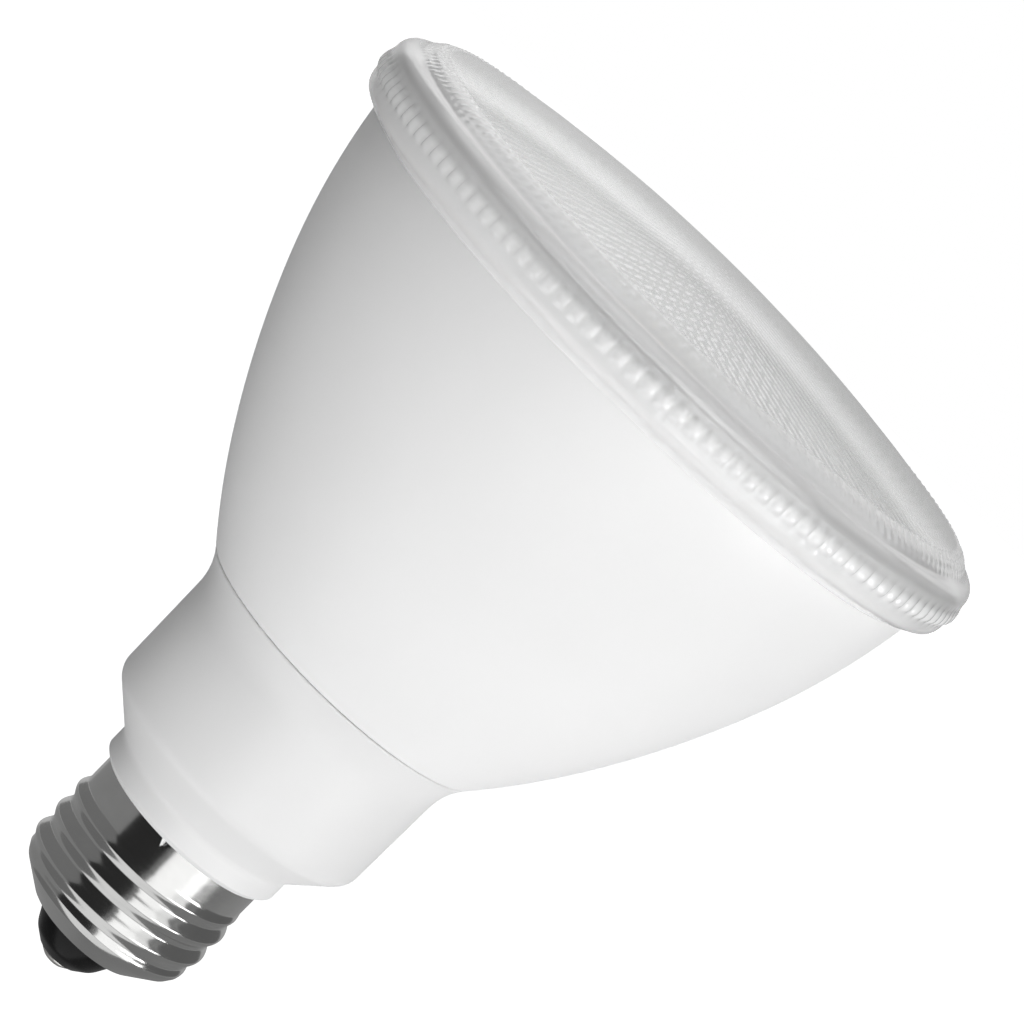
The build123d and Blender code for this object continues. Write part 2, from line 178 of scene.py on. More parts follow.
def hermiteRun(start, end, steps):
    # start and end are (height, radius, slope); gives points after the start
    z0, r0, s0 = start
    z1, r1, s1 = end
    span = z1 - z0
    run = []
    for step in range(1, steps + 1):
        t = step / steps
        r = (2 * t**3 - 3 * t**2 + 1) * r0 + (t**3 - 2 * t**2 + t) * span * s0
        r += (3 * t**2 - 2 * t**3) * r1 + (t**3 - t**2) * span * s1
        run.append((r, z0 + t * span))
    return run


def bezierRun(start, control, end, steps):
    # a quadratic curve, points after the start
    run = []
    for step in range(1, steps + 1):
        t = step / steps
        run.append(tuple((1 - t)**2 * a + 2 * t * (1 - t) * b + t**2 * c
                         for a, b, c in zip(start, control, end)))
    return run


# Materials of the outer pieces

def whitePbt(name, dark, light):
    # PBT, injection moulded in a finely eroded tool: an even satin white with a soft highlight
    material, tree = newMaterial(name)
    place = addNode(tree, "ShaderNodeTexCoord").outputs["Object"]
    grit = addNode(tree, "ShaderNodeTexNoise", inputs={"Vector": place, "Scale": perMm(0.35), "Detail": 3.0})
    flow = addNode(tree, "ShaderNodeTexNoise", inputs={"Vector": place, "Scale": perMm(22), "Detail": 2.0})
    tint = addNode(tree, "ShaderNodeValToRGB", inputs={"Fac": flow.outputs["Fac"]})
    tint.color_ramp.elements[0].color = hexColor(dark)
    tint.color_ramp.elements[1].color = hexColor(light)
    gloss = addNode(tree, "ShaderNodeMapRange", inputs={
        "Value": flow.outputs["Fac"], "To Min": 0.36, "To Max": 0.44})
    relief = addNode(tree, "ShaderNodeBump", inputs={
        "Height": grit.outputs["Fac"], "Strength": 0.06, "Distance": 0.02 * mm})
    shader = addNode(tree, "ShaderNodeBsdfPrincipled", inputs={
        "Base Color": tint.outputs["Color"], "Roughness": gloss.outputs["Result"],
        "IOR": 1.5, "Normal": relief.outputs["Normal"]})
    addNode(tree, "ShaderNodeOutputMaterial", inputs={"Surface": shader.outputs["BSDF"]})
    return material


def nickelPlate():
    # bright nickel on rolled brass sheet: mirror-like, with faint rolling lines round the shell
    material, tree = newMaterial("brightNickelPlate")
    place = addNode(tree, "ShaderNodeTexCoord").outputs["Object"]
    stretched = addNode(tree, "ShaderNodeMapping", inputs={"Vector": place, "Scale": (1.0, 1.0, 14.0)})
    lines = addNode(tree, "ShaderNodeTexNoise", inputs={
        "Vector": stretched.outputs["Vector"], "Scale": perMm(6), "Detail": 4.0})
    stain = addNode(tree, "ShaderNodeTexNoise", inputs={"Vector": place, "Scale": perMm(4), "Detail": 3.0})
    tint = addNode(tree, "ShaderNodeValToRGB", inputs={"Fac": stain.outputs["Fac"]})
    tint.color_ramp.elements[0].color = hexColor("#c4c4c3")
    tint.color_ramp.elements[1].color = hexColor("#d4d4d3")
    gloss = addNode(tree, "ShaderNodeMapRange", inputs={
        "Value": lines.outputs["Fac"], "To Min": 0.1, "To Max": 0.2})
    relief = addNode(tree, "ShaderNodeBump", inputs={
        "Height": lines.outputs["Fac"], "Strength": 0.08, "Distance": 0.03 * mm})
    shader = addNode(tree, "ShaderNodeBsdfPrincipled", inputs={
        "Base Color": tint.outputs["Color"], "Metallic": 1.0,
        "Roughness": gloss.outputs["Result"], "Normal": relief.outputs["Normal"]})
    addNode(tree, "ShaderNodeOutputMaterial", inputs={"Surface": shader.outputs["BSDF"]})
    return material


lensClarity = dict(
    haze=(0.1, 0.16), coat=(1.0, 0.8), polish=(0.04, 0.22),  # coat and its roughness, from dome to rim
    domeClear=0.8, domeEnd=40.8, rimStart=42.4,  # transmission inside one radius, fading to the next
    beadClear=0.08, beadTop=109.2,  # the fluted bead
    crownClear=0.42, crownLow=110.3, crownHigh=111.5,  # the rounded crown over it
    notchClear=0.22, notchLow=112.5,  # the notch at the foot of the dome
    skinInner=44.4, skinOuter=46.6, scatter=3.0,  # radii where scattering sets in, and its depth
)


def clearPolycarbonate():
    # polycarbonate, injection moulded: polished and faintly hazy over the dome, milky in the thick rim
    material, tree = newMaterial("hazyPolycarbonate")
    clearest, haziest = lensClarity["haze"]
    domeCoat, rimCoat = lensClarity["coat"]
    domePolish, rimPolish = lensClarity["polish"]
    place = addNode(tree, "ShaderNodeTexCoord").outputs["Object"]
    peel = addNode(tree, "ShaderNodeTexNoise", inputs={"Vector": place, "Scale": perMm(2.4), "Detail": 1.0})
    haze = addNode(tree, "ShaderNodeMapRange", inputs={
        "Value": peel.outputs["Fac"], "To Min": clearest, "To Max": haziest})
    relief = addNode(tree, "ShaderNodeBump", inputs={
        "Height": peel.outputs["Fac"], "Strength": 0.03, "Distance": 0.05 * mm})
    level = addNode(tree, "ShaderNodeVectorMath", {"operation": "MULTIPLY"}, {0: place, 1: (1, 1, 0)})
    radius = addNode(tree, "ShaderNodeVectorMath", {"operation": "LENGTH"}, {0: level.outputs["Vector"]})
    height = addNode(tree, "ShaderNodeSeparateXYZ", inputs={"Vector": place})
    soft = {"interpolation_type": "SMOOTHSTEP"}
    crown = addNode(tree, "ShaderNodeMapRange", soft, {
        "Value": height.outputs["Z"],
        "From Min": lensClarity["beadTop"] * mm, "From Max": lensClarity["crownLow"] * mm,
        "To Min": lensClarity["beadClear"], "To Max": lensClarity["crownClear"]})
    rim = addNode(tree, "ShaderNodeMapRange", soft, {
        "Value": height.outputs["Z"],
        "From Min": lensClarity["crownHigh"] * mm, "From Max": lensClarity["notchLow"] * mm,
        "To Min": crown.outputs["Result"], "To Max": lensClarity["notchClear"]})
    clarity = addNode(tree, "ShaderNodeMapRange", soft, {
        "Value": radius.outputs["Value"],
        "From Min": lensClarity["domeEnd"] * mm, "From Max": lensClarity["rimStart"] * mm,
        "To Min": lensClarity["domeClear"], "To Max": rim.outputs["Result"]})
    outward = addNode(tree, "ShaderNodeMapRange", soft, {
        "Value": radius.outputs["Value"],
        "From Min": lensClarity["skinInner"] * mm, "From Max": lensClarity["skinOuter"] * mm})
    polish = addNode(tree, "ShaderNodeMapRange", inputs={
        "Value": outward.outputs["Result"], "To Min": domePolish, "To Max": rimPolish})
    gloss = addNode(tree, "ShaderNodeMapRange", inputs={
        "Value": outward.outputs["Result"], "To Min": domeCoat, "To Max": rimCoat})
    shader = addNode(tree, "ShaderNodeBsdfPrincipled", inputs={
        "Base Color": hexColor("#fdfdfd"), "Transmission Weight": clarity.outputs["Result"], "IOR": 1.585,
        "Roughness": haze.outputs["Result"], "Coat Weight": gloss.outputs["Result"],
        "Coat Roughness": polish.outputs["Result"], "Subsurface Weight": outward.outputs["Result"],
        "Subsurface Radius": (1, 1, 1), "Subsurface Scale": lensClarity["scatter"] * mm,
        "Normal": relief.outputs["Normal"]})
    addNode(tree, "ShaderNodeOutputMaterial", inputs={"Surface": shader.outputs["BSDF"]})
    return material


def blackGlass():
    # pressed black glass: near black, glossy, with shallow press marks
    material, tree = newMaterial("blackPressedGlass")
    place = addNode(tree, "ShaderNodeTexCoord").outputs["Object"]
    press = addNode(tree, "ShaderNodeTexNoise", inputs={"Vector": place, "Scale": perMm(1.6), "Detail": 2.0})
    tint = addNode(tree, "ShaderNodeValToRGB", inputs={"Fac": press.outputs["Fac"]})
    tint.color_ramp.elements[0].color = hexColor("#060606")
    tint.color_ramp.elements[1].color = hexColor("#0e0e0f")
    gloss = addNode(tree, "ShaderNodeMapRange", inputs={
        "Value": press.outputs["Fac"], "To Min": 0.16, "To Max": 0.32})
    relief = addNode(tree, "ShaderNodeBump", inputs={
        "Height": press.outputs["Fac"], "Strength": 0.15, "Distance": 0.1 * mm})
    shader = addNode(tree, "ShaderNodeBsdfPrincipled", inputs={
        "Base Color": tint.outputs["Color"], "IOR": 1.55, "Specular IOR Level": 0.18,
        "Roughness": gloss.outputs["Result"], "Normal": relief.outputs["Normal"]})
    addNode(tree, "ShaderNodeOutputMaterial", inputs={"Surface": shader.outputs["BSDF"]})
    return material


def vacuumAluminium():
    # aluminium evaporated on moulded plastic: a bright mirror, softened by a fine satin texture
    material, tree = newMaterial("vacuumAluminium")
    place = addNode(tree, "ShaderNodeTexCoord").outputs["Object"]
    satin = addNode(tree, "ShaderNodeTexNoise", inputs={"Vector": place, "Scale": perMm(0.9), "Detail": 2.0})
    gloss = addNode(tree, "ShaderNodeMapRange", inputs={
        "Value": satin.outputs["Fac"], "To Min": 0.24, "To Max": 0.34})
    relief = addNode(tree, "ShaderNodeBump", inputs={
        "Height": satin.outputs["Fac"], "Strength": 0.1, "Distance": 0.05 * mm})
    shader = addNode(tree, "ShaderNodeBsdfPrincipled", inputs={
        "Base Color": hexColor("#eeeff0"), "Metallic": 1.0,
        "Roughness": gloss.outputs["Result"], "Normal": relief.outputs["Normal"]})
    addNode(tree, "ShaderNodeOutputMaterial", inputs={"Surface": shader.outputs["BSDF"]})
    return material


# Materials of the inner pieces, all of one make: a mottled colour, a roughness range and a fine relief

innerFinishes = {
    "contact_metal": dict(name="tinnedBrass", dark="#c9c8c4", light="#dedddb", metallic=1.0,
                          roughness=(0.25, 0.45), grainMm=0.5, relief=0.15),  # dipped solder, wavy
    "grey_rubber": dict(name="siliconeRubber", dark="#a9abac", light="#b6b8b9", metallic=0.0,
                        roughness=(0.55, 0.7), grainMm=0.4, relief=0.1),  # moulded, dull
    "bare_aluminium": dict(name="drawnAluminium", dark="#b3b5b6", light="#c8cacb", metallic=1.0,
                           roughness=(0.3, 0.45), grainMm=0.7, relief=0.1),  # deep drawn, satin
    "white_board": dict(name="whiteSolderMask", dark="#e9e9e4", light="#f2f2ee", metallic=0.0,
                        roughness=(0.35, 0.5), grainMm=0.6, relief=0.08),  # screen printed
    "led_phosphor": dict(name="phosphorSilicone", dark="#e2c34a", light="#efd76a", metallic=0.0,
                         roughness=(0.3, 0.45), grainMm=0.12, relief=0.1),  # powder in clear resin
    "zinc_steel": dict(name="zincPlatedSteel", dark="#a7abae", light="#c3c7c9", metallic=1.0,
                       roughness=(0.25, 0.4), grainMm=0.4, relief=0.1),  # barrel plated
    "green_board": dict(name="greenSolderMask", dark="#1d5a35", light="#256b40", metallic=0.0,
                        roughness=(0.3, 0.45), grainMm=0.5, relief=0.1),  # glass cloth under lacquer
    "ferrite": dict(name="sinteredFerrite", dark="#2c2b2b", light="#3d3b3a", metallic=0.0,
                    roughness=(0.6, 0.8), grainMm=0.25, relief=0.25),  # pressed and fired, grainy
    "yellow_tape": dict(name="polyesterTape", dark="#dcb52c", light="#e8c548", metallic=0.0,
                        roughness=(0.2, 0.35), grainMm=1.5, relief=0.1),  # wrapped film
    "dark_sleeve": dict(name="shrinkSleeve", dark="#1b1c20", light="#27282d", metallic=0.0,
                        roughness=(0.3, 0.45), grainMm=0.8, relief=0.1),  # heat-shrunk film
    "black_epoxy": dict(name="mouldedEpoxy", dark="#1b1b1b", light="#282828", metallic=0.0,
                        roughness=(0.5, 0.65), grainMm=0.2, relief=0.2),  # transfer moulded, matt
    "blue_lacquer": dict(name="dippedLacquer", dark="#27508f", light="#3463a6", metallic=0.0,
                         roughness=(0.25, 0.4), grainMm=0.9, relief=0.12),  # dip coated
    "black_wire": dict(name="blackPvc", dark="#161616", light="#212121", metallic=0.0,
                       roughness=(0.4, 0.55), grainMm=0.3, relief=0.1),  # extruded
    "white_wire": dict(name="whitePvc", dark="#e4e4e2", light="#efefed", metallic=0.0,
                       roughness=(0.4, 0.55), grainMm=0.3, relief=0.1),  # extruded
    "red_wire": dict(name="redPvc", dark="#a51d1a", light="#bb2a24", metallic=0.0,
                     roughness=(0.4, 0.55), grainMm=0.3, relief=0.1),  # extruded
}


def innerMaterial(finish):
    material, tree = newMaterial(finish["name"])
    place = addNode(tree, "ShaderNodeTexCoord").outputs["Object"]
    grain = addNode(tree, "ShaderNodeTexNoise", inputs={
        "Vector": place, "Scale": perMm(finish["grainMm"]), "Detail": 3.0})
    tint = addNode(tree, "ShaderNodeValToRGB", inputs={"Fac": grain.outputs["Fac"]})
    tint.color_ramp.elements[0].color = hexColor(finish["dark"])
    tint.color_ramp.elements[1].color = hexColor(finish["light"])
    low, high = finish["roughness"]
    gloss = addNode(tree, "ShaderNodeMapRange", inputs={
        "Value": grain.outputs["Fac"], "To Min": low, "To Max": high})
    relief = addNode(tree, "ShaderNodeBump", inputs={
        "Height": grain.outputs["Fac"], "Strength": finish["relief"], "Distance": 0.05 * mm})
    shader = addNode(tree, "ShaderNodeBsdfPrincipled", inputs={
        "Base Color": tint.outputs["Color"], "Metallic": finish["metallic"],
        "Roughness": gloss.outputs["Result"], "Normal": relief.outputs["Normal"]})
    addNode(tree, "ShaderNodeOutputMaterial", inputs={"Surface": shader.outputs["BSDF"]})
    return material


finishes = {slotName: innerMaterial(finish) for slotName, finish in innerFinishes.items()}
finishes["white_plastic"] = whitePbt("whitePbtMoulded", "#ededed", "#f3f3f3")
neckPaintedShadePlastic = whitePbt("neckPbtPaintedShade", "#e5e5e5", "#ebebeb")  # the bell's white a shade greyer: painted shade that darkens the neck below the bell
finishes["plated_brass"] = nickelPlate()
finishes["clear_plastic"] = clearPolycarbonate()
finishes["black_insulator"] = blackGlass()
finishes["bright_reflector"] = vacuumAluminium()
print("materials:", len(finishes))


# Housing: the white bell, with its floor and the tongue that enters the lens

bell = dict(
    # a station is the height, radius and slope of the outline there
    stations=((52.9, 21.71, 0.8), (65.6, 30.35, 0.578), (83.2, 38.75, 0.385), (104.5, 44.15, 0.12)),
    innerStations=((60.0, 24.44, 0.687), (65.6, 28.03, 0.597), (83.2, 36.59, 0.394), (103.2, 41.99, 0.13)),
    lipRound=0.5, tongueRadius=44.15, tongueBore=42.6, tongueTop=109.4, ledge=103.2,
    floorTop=60.0, floorLow=58.0, floorHole=9.0, socketRadius=19.95, curveSteps=14, turnSteps=192,
    screwCircle=15.3, screwHole=1.6, screwAngles=(90, 210, 330), smoothAngle=28,
)


def makeHousing():
    piece = startPiece("bellHousing")
    outline = [(bell["stations"][0][1], bell["stations"][0][0], bell["lipRound"])]
    for start, end in zip(bell["stations"], bell["stations"][1:]):
        outline += hermiteRun(start, end, bell["curveSteps"])
    outline += [(bell["tongueRadius"], bell["tongueTop"]), (bell["tongueBore"], bell["tongueTop"]),
                (bell["tongueBore"], bell["ledge"])]
    inner = list(reversed(bell["innerStations"]))
    outline.append((inner[0][1], inner[0][0]))
    for start, end in zip(inner, inner[1:]):
        outline += hermiteRun(start, end, bell["curveSteps"])
    outline += [(bell["floorHole"], bell["floorTop"]), (bell["floorHole"], bell["floorLow"]),
                (bell["socketRadius"], bell["floorLow"]), (bell["socketRadius"], bell["stations"][0][0])]
    spinProfile(roundedOutline(outline), bell["turnSteps"])
    for angle in bell["screwAngles"]:
        workRod(piece, "DIFFERENCE", bell["screwHole"], bell["screwCircle"], angle,
                bell["floorLow"] - overshoot, bell["floorTop"] + overshoot)
    smoothSides(piece, bell["smoothAngle"])
    finishPiece(piece, "housing", finishes["white_plastic"])


makeHousing()


# Neck: collar, shoulder, barrel and flare outside, spigot and board rails inside

neck = dict(
    collarLow=24.6, collarEdge=13.05, collarRadius=13.75, collarBevel=0.65, collarTop=28.1,
    collarRound=0.3, creaseRound=1.6, shoulderRadius=19.38, shoulderZ=33.6, shoulderRound=2.4,
    barrelRadius=19.55, flareLow=46.9, flareRadius=9.4, flareTurn=38.7, seamRound=0.2,
    tongueRadius=19.9, tongueTop=58.0, bore=17.6, boreLow=35.6, throatZ=29.2,
    spigotRadius=11.95, spigotBore=10.3, spigotLow=12.5, flareSteps=14, turnSteps=192,
    railX=(14.4, 18.2), railY=(-2.3, 2.3), railZ=(34.6, 54.0),
    grooveX=15.55, grooveY=(-0.85, 0.85), grooveLow=36.2,
    bossCircle=15.3, bossAngles=(90, 210, 330), bossRadius=2.6, bossLow=44.0, bossFloor=1.0,
    pilotRadius=1.25, slotX=(11.05, 12.95), slotY=(-0.5, 0.5), slotTop=19.0, smoothAngle=28,
)


def makeNeck():
    piece = startPiece("neckMoulding")
    turn = radians(neck["flareTurn"])
    barrelTop = (neck["barrelRadius"], neck["flareLow"])
    cornerZ = neck["flareLow"] + neck["flareRadius"] * tan(turn / 2)
    seamZ = neck["flareLow"] + neck["flareRadius"] * sin(turn)
    seamRadius = neck["barrelRadius"] + neck["flareRadius"] * (1 - cos(turn))
    outline = roundedOutline([
        (neck["spigotBore"], neck["spigotLow"]), (neck["spigotRadius"], neck["spigotLow"]),
        (neck["spigotRadius"], neck["collarLow"]), (neck["collarEdge"], neck["collarLow"]),
        (neck["collarRadius"], neck["collarLow"] + neck["collarBevel"], neck["collarRound"]),
        (neck["collarRadius"], neck["collarTop"], neck["creaseRound"]),
        (neck["shoulderRadius"], neck["shoulderZ"], neck["shoulderRound"]), barrelTop])
    flare = bezierRun(barrelTop, (neck["barrelRadius"], cornerZ), (seamRadius, seamZ), neck["flareSteps"])
    outline += flare[:-1]
    outline += [(seamRadius, seamZ, neck["seamRound"]),
                (neck["tongueRadius"], seamZ), (neck["tongueRadius"], neck["tongueTop"]),
                (neck["bore"], neck["tongueTop"]), (neck["bore"], neck["boreLow"]),
                (neck["spigotBore"], neck["throatZ"])]
    spinProfile(roundedOutline(outline), neck["turnSteps"])
    inner, outer = neck["railX"]
    railTop = neck["railZ"][1]
    workBlock(piece, "UNION", (inner, outer), neck["railY"], neck["railZ"])
    workBlock(piece, "UNION", (-outer, -inner), neck["railY"], neck["railZ"])
    workBlock(piece, "DIFFERENCE", (-neck["grooveX"], neck["grooveX"]), neck["grooveY"],
              (neck["grooveLow"], railTop + overshoot))
    for angle in neck["bossAngles"]:
        workRod(piece, "UNION", neck["bossRadius"], neck["bossCircle"], angle,
                neck["bossLow"], neck["tongueTop"])
        workRod(piece, "DIFFERENCE", neck["pilotRadius"], neck["bossCircle"], angle,
                neck["bossLow"] + neck["bossFloor"], neck["tongueTop"] + overshoot)
    workBlock(piece, "DIFFERENCE", neck["slotX"], neck["slotY"],
              (neck["spigotLow"] - overshoot, neck["slotTop"]))
    smoothSides(piece, neck["smoothAngle"])
    finishPiece(piece, "neck_housing", neckPaintedShadePlastic)


makeNeck()


# Screw shell: rolled thread, plain band with punched crimps, cone and lip at the foot

shell = dict(
    bandRadius=12.42, rootRadius=12.33, crestRadius=13.03, bore=12.1, sheet=0.3, skin=0.05, pitch=25.4 / 7,
    threadLow=9.6, threadStart=9.2, threadEnd=20.9, fade=2.2, rowStep=0.19, bandTop=24.6,
    lipRadius=6.7, lipZ=5.4, coneRadius=8.3, coneZ=5.85, coneRound=0.5,
    coneTopRadius=11.9, coneTopZ=8.7, coneTopRound=0.9, turnSteps=360, smoothAngle=50,
    crimps=4, crimpFirst=-91.0, crimpWidth=1.2, crimpHeight=1.3, crimpDepth=0.3, crimpSlope=1.6,
)


def threadHeight(z, angle):
    fadeIn = min(1, max(0, (z - shell["threadStart"]) / shell["fade"]))
    fadeOut = min(1, max(0, (shell["threadEnd"] - z) / shell["fade"]))
    share = (fadeIn * fadeIn * (3 - 2 * fadeIn)) * (fadeOut * fadeOut * (3 - 2 * fadeOut))
    wave = 0.5 + 0.5 * cos(2 * pi * ((z - shell["threadLow"]) / shell["pitch"] - angle / (2 * pi)))
    rise = wave * (shell["crestRadius"] - shell["rootRadius"]) + shell["rootRadius"] - shell["bandRadius"]
    return share * rise


def crimpDepth(z, angle):
    # a punched notch: widest at the top edge of the band, pointed below
    step = 2 * pi / shell["crimps"]
    offset = (angle - radians(shell["crimpFirst"]) + step / 2) % step - step / 2
    across = abs(offset * shell["bandRadius"]) / (shell["crimpWidth"] / 2)
    below = (shell["bandTop"] - z) / shell["crimpHeight"]
    return shell["crimpDepth"] * min(1, max(0, shell["crimpSlope"] * (1 - across - below)))


def makeShell():
    piece = startPiece("threadedShell")
    sheet = shell["sheet"]
    tall = shell["bandTop"] - shell["threadLow"]
    rows = ceil(tall / shell["rowStep"])
    outline = roundedOutline([
        (shell["lipRadius"] - sheet, shell["lipZ"]), (shell["lipRadius"], shell["lipZ"]),
        (shell["coneRadius"], shell["coneZ"], shell["coneRound"]),
        (shell["coneTopRadius"], shell["coneTopZ"], shell["coneTopRound"]),
        (shell["bandRadius"], shell["threadLow"])])
    outline += [(shell["bandRadius"], shell["threadLow"] + tall * row / rows) for row in range(1, rows + 1)]
    outline += [(shell["bore"], shell["bandTop"]), (shell["bore"], shell["threadLow"] + sheet),
                (shell["coneTopRadius"] - sheet / 2, shell["coneTopZ"] + sheet),
                (shell["coneRadius"] - sheet / 2, shell["coneZ"] + sheet),
                (shell["lipRadius"] - sheet, shell["lipZ"] + sheet)]
    spinProfile(outline, shell["turnSteps"])
    outside = (shell["bandRadius"] - shell["skin"]) * mm
    for vertex in piece.data.vertices:
        x, y, z = vertex.co
        radius = sqrt(x * x + y * y)
        if radius > outside:
            angle = atan2(y, x)
            rise = threadHeight(z / mm, angle) - crimpDepth(z / mm, angle)
            scale = (radius + rise * mm) / radius
            vertex.co = (x * scale, y * scale, z)
    smoothSides(piece, shell["smoothAngle"])
    finishPiece(piece, "screw_shell", finishes["plated_brass"])


makeShell()


# Foot of the base: black insulator and the contact rivet

foot = dict(
    contactFlat=1.5, flatRound=0.3, contactHead=2.3, headRound=0.15, contactBevelZ=0.55, contactHeight=0.95,
    shank=0.7, contactTop=9.4, clearance=0.05, contactSteps=48,
    insulatorFoot=3.0, footRound=0.4, waistRadius=4.75, waistZ=2.4, waistRound=3.0,
    neckRadius=6.35, neckZ=5.4, neckTop=5.75, coneRadius=8.0, coneZ=6.2, topRadius=11.3, topZ=8.75,
    insulatorSteps=96, smoothAngle=35,
)


def makeInsulator():
    piece = startPiece("baseInsulator")
    hole = foot["shank"] + foot["clearance"]
    outline = roundedOutline([
        (hole, foot["contactHeight"]), (foot["insulatorFoot"], foot["contactHeight"], foot["footRound"]),
        (foot["waistRadius"], foot["waistZ"], foot["waistRound"]), (foot["neckRadius"], foot["neckZ"]),
        (foot["neckRadius"], foot["neckTop"]), (foot["coneRadius"], foot["coneZ"]),
        (foot["topRadius"], foot["topZ"]), (hole, foot["topZ"])])
    spinProfile(outline, foot["insulatorSteps"])
    smoothSides(piece, foot["smoothAngle"])
    finishPiece(piece, "base_insulator", finishes["black_insulator"])


def makeContact():
    piece = startPiece("contactRivet")
    outline = roundedOutline([
        (0, 0), (foot["contactFlat"], 0, foot["flatRound"]),
        (foot["contactHead"], foot["contactBevelZ"], foot["headRound"]),
        (foot["contactHead"], foot["contactHeight"]), (foot["shank"], foot["contactHeight"]),
        (foot["shank"], foot["contactTop"]), (0, foot["contactTop"])])
    spinProfile(outline, foot["contactSteps"], closed=False)
    smoothSides(piece, foot["smoothAngle"])
    finishPiece(piece, "centre_contact", finishes["contact_metal"])


makeInsulator()
makeContact()


# Lens: smooth dome outside, rings of pillows inside, fluted bead and grooved skirt

lens = dict(
    height=118.9, domeRadius=220.0, edge=41.2, wall=2.2, domeRows=8, smoothAngle=62,
    corner=43.4, footRadius=44.8, footZ=113.2, footSteps=16,  # outer foot of the dome
    notchRadius=45.1, notchZ=112.95, crownZ=112.7, crownSteps=7,  # notch, then the crown of the bead
    rim=47.55, highZ=110.8, lowZ=107.7, ribs=132, ribHeight=0.42, ribFlat=0.36, ribSteps=6,
    ribRound=1.7, ribFoot=0.9, ribRows=(110.4, 110.0, 109.6, 109.1, 108.6, 108.3, 108.0, 107.7),
    cornerRadius=46.2, cornerZ=105.6, cornerLow=106.1, cornerSteps=5,  # lower corner of the bead
    skirtOuterLow=104.5, grooveOuter=44.25, grooveTop=110.6, grooveInner=42.5, skirtLow=104.2,
    rowPitch=1.65, arcPitch=1.6, rowSteps=3, fewest=6, stippleDepth=0.22,  # stipple inside the dome
    footRow=1.3, footDepth=0.22, footStart=41.8, footEnd=44.75, fadeIn=0.5, fadeOut=0.25,  # dots on its foot
    near=0.01, innerReach=0.05,  # how far off a vertex may be and still count as on its surface
)


def domeZ(radius, top):
    return top - lens["domeRadius"] + sqrt(lens["domeRadius"]**2 - radius**2)


def ribRise(angle, z):
    # height of the ribs: a flat top with straight flanks, eased off at both ends
    phase = abs((angle / (2 * pi) * lens["ribs"] + 0.5) % 1 - 0.5)
    across = min(1, max(0, (0.5 - phase) / (0.5 - lens["ribFlat"] / 2)))
    down = min(1, max(0, (lens["highZ"] - z) / lens["ribRound"]))
    up = min(1, max(0, (z - lens["lowZ"]) / lens["ribFoot"]))
    return lens["ribHeight"] * across * down * down * (3 - 2 * down) * up * up * (3 - 2 * up)


def stippleWave(radius, angle, rowPitch):
    # rows of bumps and dips from 1 to -1, level where one row meets the next
    row = floor(radius / rowPitch)
    count = max(lens["fewest"], round(2 * pi * (row + 0.5) * rowPitch / lens["arcPitch"]))
    across = radius / rowPitch - row
    return sin(pi * across) * cos(count * angle + row * pi)


def makeLens():
    piece = startPiece("stippledLens")
    rib = lens["rim"] - lens["ribHeight"]
    outline = [(0, lens["height"])]
    for row in range(1, lens["domeRows"] + 1):
        radius = lens["edge"] * row / lens["domeRows"]
        outline.append((radius, domeZ(radius, lens["height"])))
    edgeZ = outline[-1][1]
    fall = lens["edge"] / (edgeZ - lens["height"] + lens["domeRadius"])
    outline += bezierRun((lens["edge"], edgeZ),
                         (lens["corner"], edgeZ - fall * (lens["corner"] - lens["edge"])),
                         (lens["footRadius"], lens["footZ"]), lens["footSteps"])
    outline.append((lens["notchRadius"], lens["notchZ"]))
    outline += bezierRun((lens["notchRadius"], lens["notchZ"]), (rib, lens["crownZ"]),
                         (rib, lens["highZ"]), lens["crownSteps"])
    outline += [(rib, z) for z in lens["ribRows"]]
    outline += bezierRun((rib, lens["lowZ"]), (rib, lens["cornerLow"]),
                         (lens["cornerRadius"], lens["cornerZ"]), lens["cornerSteps"])
    outline += [(lens["grooveOuter"], lens["skirtOuterLow"]), (lens["grooveOuter"], lens["grooveTop"]),
                (lens["grooveInner"], lens["grooveTop"]), (lens["grooveInner"], lens["skirtLow"]),
                (lens["edge"], lens["skirtLow"])]
    innerTop = lens["height"] - lens["wall"]
    steps = floor(lens["edge"] / lens["rowPitch"] * lens["rowSteps"])
    outline.append((lens["edge"], domeZ(lens["edge"], innerTop)))
    for step in range(steps, 0, -1):
        radius = lens["rowPitch"] * step / lens["rowSteps"]
        outline.append((radius, domeZ(radius, innerTop)))
    outline.append((0, innerTop))
    spinProfile(outline, lens["ribs"] * lens["ribSteps"], closed=False)
    near = lens["near"]
    for vertex in piece.data.vertices:
        x, y, z = (value / mm for value in vertex.co)
        radius = sqrt(x * x + y * y)
        angle = atan2(y, x)
        if abs(radius - rib) < near and lens["lowZ"] - near < z < lens["highZ"] + near:
            scale = (rib + ribRise(angle, z)) / rib
            vertex.co = (x * scale * mm, y * scale * mm, z * mm)
        elif radius < lens["edge"] - near and abs(z - domeZ(radius, innerTop)) < lens["innerReach"]:
            vertex.co.z -= lens["stippleDepth"] / 2 * stippleWave(radius, angle, lens["rowPitch"]) * mm
        elif lens["footStart"] < radius < lens["footEnd"] and z > lens["footZ"]:
            fade = min(1, (lens["footEnd"] - radius) / lens["fadeOut"])
            fade *= min(1, (radius - lens["footStart"]) / lens["fadeIn"])
            dot = max(0, stippleWave(radius, angle, lens["footRow"]))
            vertex.co.z += lens["footDepth"] * fade * dot * mm
    smoothSides(piece, lens["smoothAngle"])
    finishPiece(piece, "lens", finishes["clear_plastic"])


makeLens()


# Reflector: a parabolic dish with a flat flange under the lens

dish = dict(lowRadius=18.4, topRadius=39.4, wall=0.8, lowZ=64.0, ledge=103.2, flangeTop=104.2,
            flangeRadius=42.5, curveSteps=24, turnSteps=160, smoothAngle=28)


